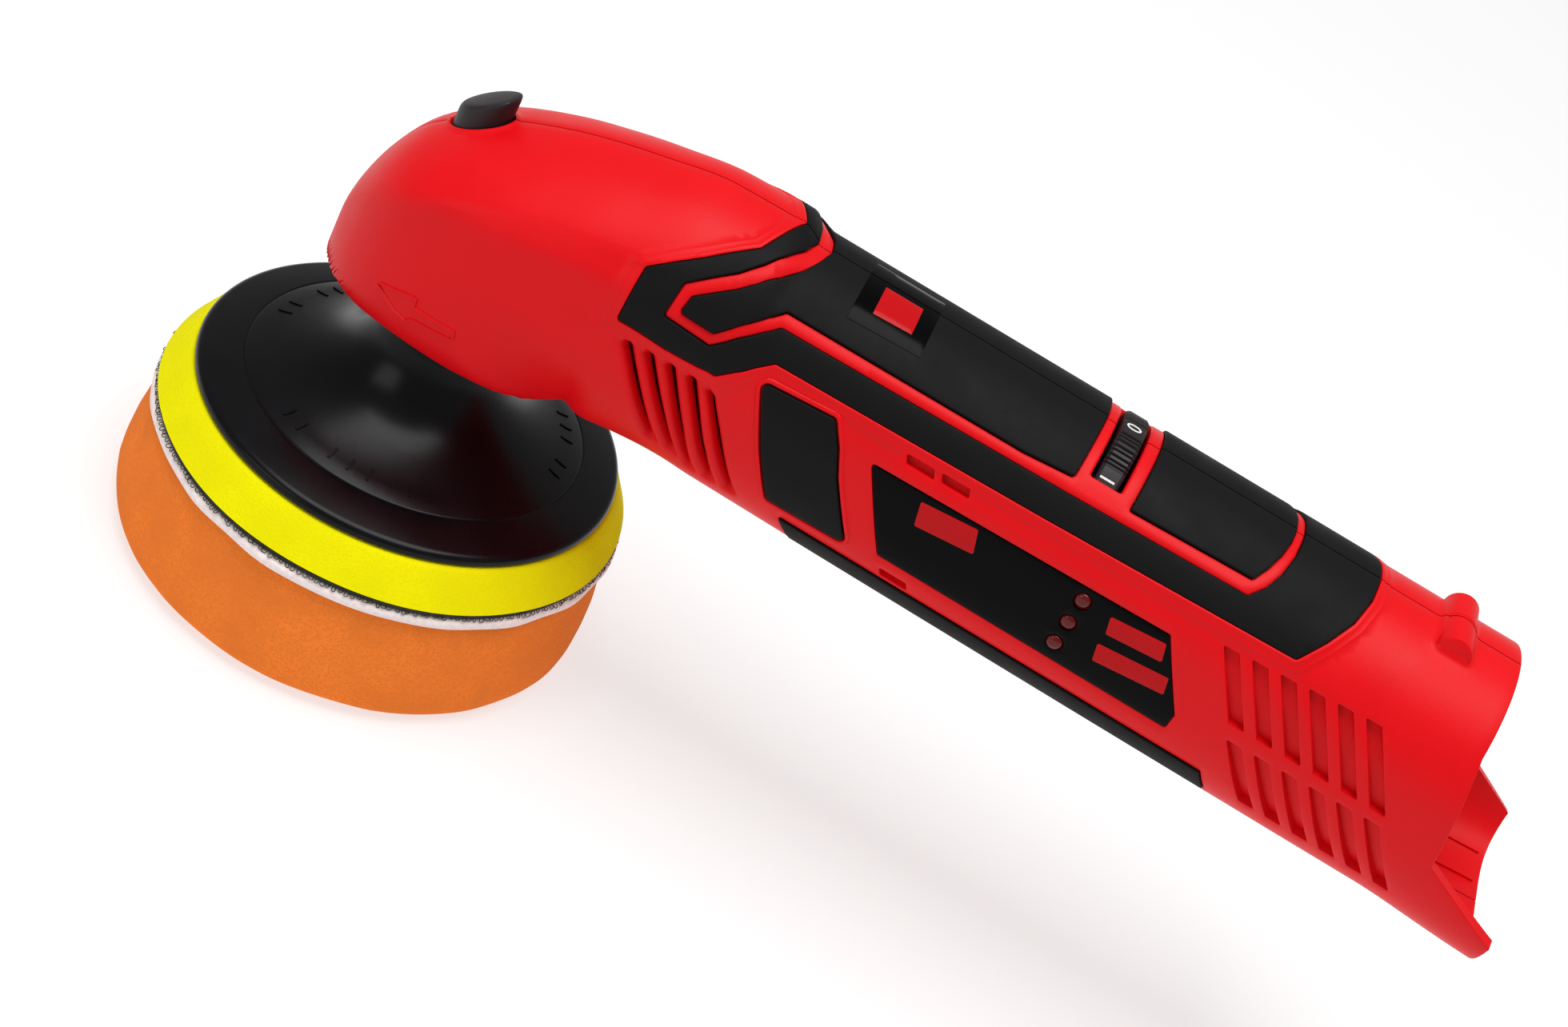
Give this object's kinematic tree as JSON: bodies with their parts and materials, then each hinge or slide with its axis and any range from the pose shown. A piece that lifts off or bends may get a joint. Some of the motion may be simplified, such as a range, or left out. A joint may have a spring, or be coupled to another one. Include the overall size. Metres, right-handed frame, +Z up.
{
  "type": "cordless dual action polisher",
  "caption": "Slim cordless polisher: angled gear head over a stepped backing plate, hook layer and orange foam pad, red two-half body with black rubber grips.",
  "frame": {"origin": "centre of the foam pad's flat working face, on the pad's axis", "axes": "+Z up along the spindle, away from the working face; +X along the handle to its open rear end; the casing's seam lies in the plane y = 0"},
  "size_m": [0.2829, 0.103, 0.123],
  "materials": {
    "red_plastic": "satin moulded red plastic",
    "black_rubber": "fine matt overmoulded rubber",
    "gloss_label": "gloss black film",
    "red_lens": "dark red light lens",
    "black_plastic": "satin black plastic",
    "grey_plastic": "grey plastic",
    "circuit_board": "green laminate",
    "cast_alloy": "die-cast alloy",
    "copper_winding": "lacquered copper winding on a steel core",
    "brass": "plain brass",
    "ferrite": "dark sintered ferrite",
    "yellow_foam": "yellow microcellular foam",
    "orange_foam": "open cell orange polishing foam",
    "hook_tape": "black hook tape",
    "loop_felt": "off-white loop felt",
    "steel": "plain machined steel"
  },
  "bodies": {
    "casing": {"battery_contact_1": "brass", "battery_contact_2": "brass", "bearing_retainer": "steel", "case_screw_1": "steel", "case_screw_2": "steel", "case_screw_3": "steel", "case_screw_4": "steel", "case_screw_5": "steel", "case_screw_6": "steel", "charge_light_1": "red_lens", "charge_light_2": "red_lens", "charge_light_3": "red_lens", "charge_light_board": "circuit_board", "control_board": "circuit_board", "front_motor_bearing": "steel", "gearbox_cover": "cast_alloy", "gearbox_cup": "cast_alloy", "left_casing": "red_plastic", "left_front_grip_panel": "black_rubber", "left_grip_band": "black_rubber", "left_label": "gloss_label", "left_lower_strip": "black_rubber", "left_rear_grip_panel": "black_rubber", "left_side_pad": "black_rubber", "lock_spring": "steel", "lower_bearing": "steel", "lower_brush": "ferrite", "lower_magnet": "ferrite", "motor_can": "steel", "motor_end_bell": "black_plastic", "right_casing": "red_plastic", "right_front_grip_panel": "black_rubber", "right_grip_band": "black_rubber", "right_label": "gloss_label", "right_lower_strip": "black_rubber", "right_rear_grip_panel": "black_rubber", "right_side_pad": "black_rubber", "speed_potentiometer": "grey_plastic", "terminal_block": "black_plastic", "upper_bearing": "steel", "upper_brush": "ferrite", "upper_magnet": "ferrite"},
    "spindle": {"drive_spindle": "steel", "bevel_gear": "steel", "eccentric_carrier": "cast_alloy", "pad_bearing": "steel"},
    "pad": {"pad_shaft": "steel", "backing_plate": "black_plastic", "foam_layer": "yellow_foam", "hook_layer": "hook_tape", "loop_layer": "loop_felt", "foam_pad": "orange_foam"},
    "motor_rotor": {"motor_shaft": "steel", "pinion_gear": "steel", "cooling_fan": "black_plastic", "rotor_core": "copper_winding", "commutator": "brass"},
    "dial": {"speed_dial": "black_plastic"},
    "button": {"lock_button": "black_plastic", "lock_pin": "steel"}
  },
  "joints": [
    {"name": "spindle_spin", "type": "hinge", "parent": "casing", "child": "spindle", "pos_m": [0.0015, 0, 0.08], "axis": [0, 0, 1], "continuous": true},
    {"name": "pad_spin", "type": "hinge", "parent": "spindle", "child": "pad", "pos_m": [0, 0, 0.067], "axis": [0, 0, 1], "continuous": true},
    {"name": "motor_spin", "type": "hinge", "parent": "casing", "child": "motor_rotor", "pos_m": [0.08, 0, 0.094], "axis": [1, 0, 0], "continuous": true},
    {"name": "speed_dial_turn", "type": "hinge", "parent": "casing", "child": "dial", "pos_m": [0.1244, 0, 0.103], "axis": [1, 0, 0], "range_deg": [0, 270]},
    {"name": "lock_press", "type": "slide", "parent": "casing", "child": "button", "axis": [0, 0, 1], "range_m": [-0.003, 0], "stiffness_N_per_m": 800, "springref_m": 0.001, "deforming": ["lock_spring"]}
  ],
  "couplings": [
    {"joint": "motor_spin", "follows": "spindle_spin", "ratio": 3}
  ]
}
